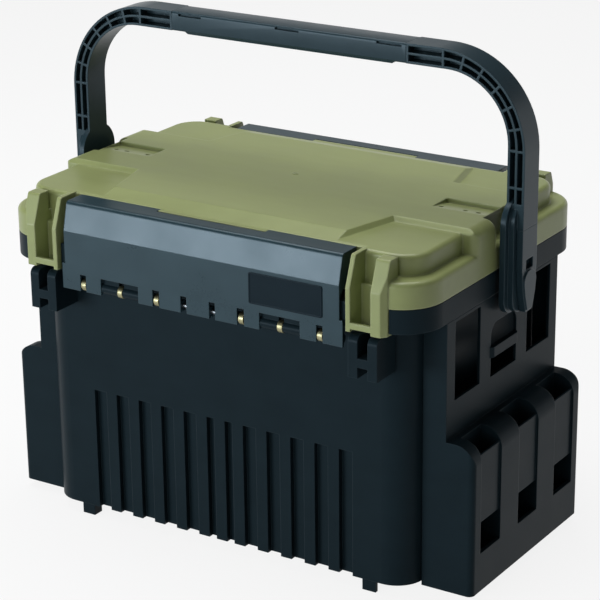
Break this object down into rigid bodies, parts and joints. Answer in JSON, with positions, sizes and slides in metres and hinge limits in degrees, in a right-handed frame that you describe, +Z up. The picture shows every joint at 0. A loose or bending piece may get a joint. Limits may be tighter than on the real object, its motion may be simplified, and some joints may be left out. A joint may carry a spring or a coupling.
{
  "type": "fishing tackle box",
  "caption": "Hard fishing tackle box with fluted tub, two-way lid, latch flaps front and rear, a bail handle and tool pockets on both ends.",
  "frame": {"origin": "on the ground under the middle of the tub", "axes": "+X along the box to its right end, +Y to the rear, +Z up; the flap with the name plate faces -Y"},
  "size_m": [0.54, 0.344, 0.5105],
  "materials": {
    "tub_plastic": "satin moulded",
    "lid_plastic": "satin moulded",
    "flap_plastic": "semi-gloss moulded",
    "handle_plastic": "satin moulded",
    "plate_plastic": "plain",
    "tray_plastic": "satin moulded",
    "brass": "turned",
    "steel": "turned"
  },
  "bodies": {
    "box": {"tub": "tub_plastic", "end_frame_left": "tub_plastic", "end_frame_right": "tub_plastic", "feet": "tub_plastic", "corner_brackets_front": "tub_plastic", "corner_brackets_rear": "tub_plastic", "front_hinge_pin": "steel", "rear_hinge_pin": "steel", "front_hinge_bushes": "brass", "rear_hinge_bushes": "brass", "pivot_pins": "steel", "pivot_bushes": "tub_plastic"},
    "lid_body": {"lid": "lid_plastic"},
    "front_latch": {"front_flap": "flap_plastic", "name_plate": "plate_plastic"},
    "rear_latch": {"rear_flap": "flap_plastic"},
    "handle": {"handle_bail": "handle_plastic", "handle_grip": "handle_plastic", "pivot_covers": "handle_plastic"},
    "tray_body": {"tray": "tray_plastic", "tray_dividers": "tray_plastic"}
  },
  "joints": [
    {"name": "front_flap_hinge", "type": "hinge", "parent": "box", "child": "front_latch", "pos_m": [0, -0.163, 0.268], "axis": [1, 0, 0], "range_deg": [0, 110]},
    {"name": "lid_hinge", "type": "hinge", "parent": "box", "child": "lid_body", "pos_m": [0, 0.163, 0.268], "axis": [-1, 0, 0], "range_deg": [0, 22]},
    {"name": "rear_flap_hinge", "type": "hinge", "parent": "lid_body", "child": "rear_latch", "pos_m": [0, 0.163, 0.268], "axis": [-1, 0, 0], "range_deg": [0, 110]},
    {"name": "handle_hinge", "type": "hinge", "parent": "box", "child": "handle", "pos_m": [0, 0.006, 0.295], "axis": [1, 0, 0], "range_deg": [-118, 118]},
    {"name": "tray_slide", "type": "slide", "parent": "box", "child": "tray_body", "axis": [1, 0, 0], "range_m": [0, 0.22]}
  ]
}
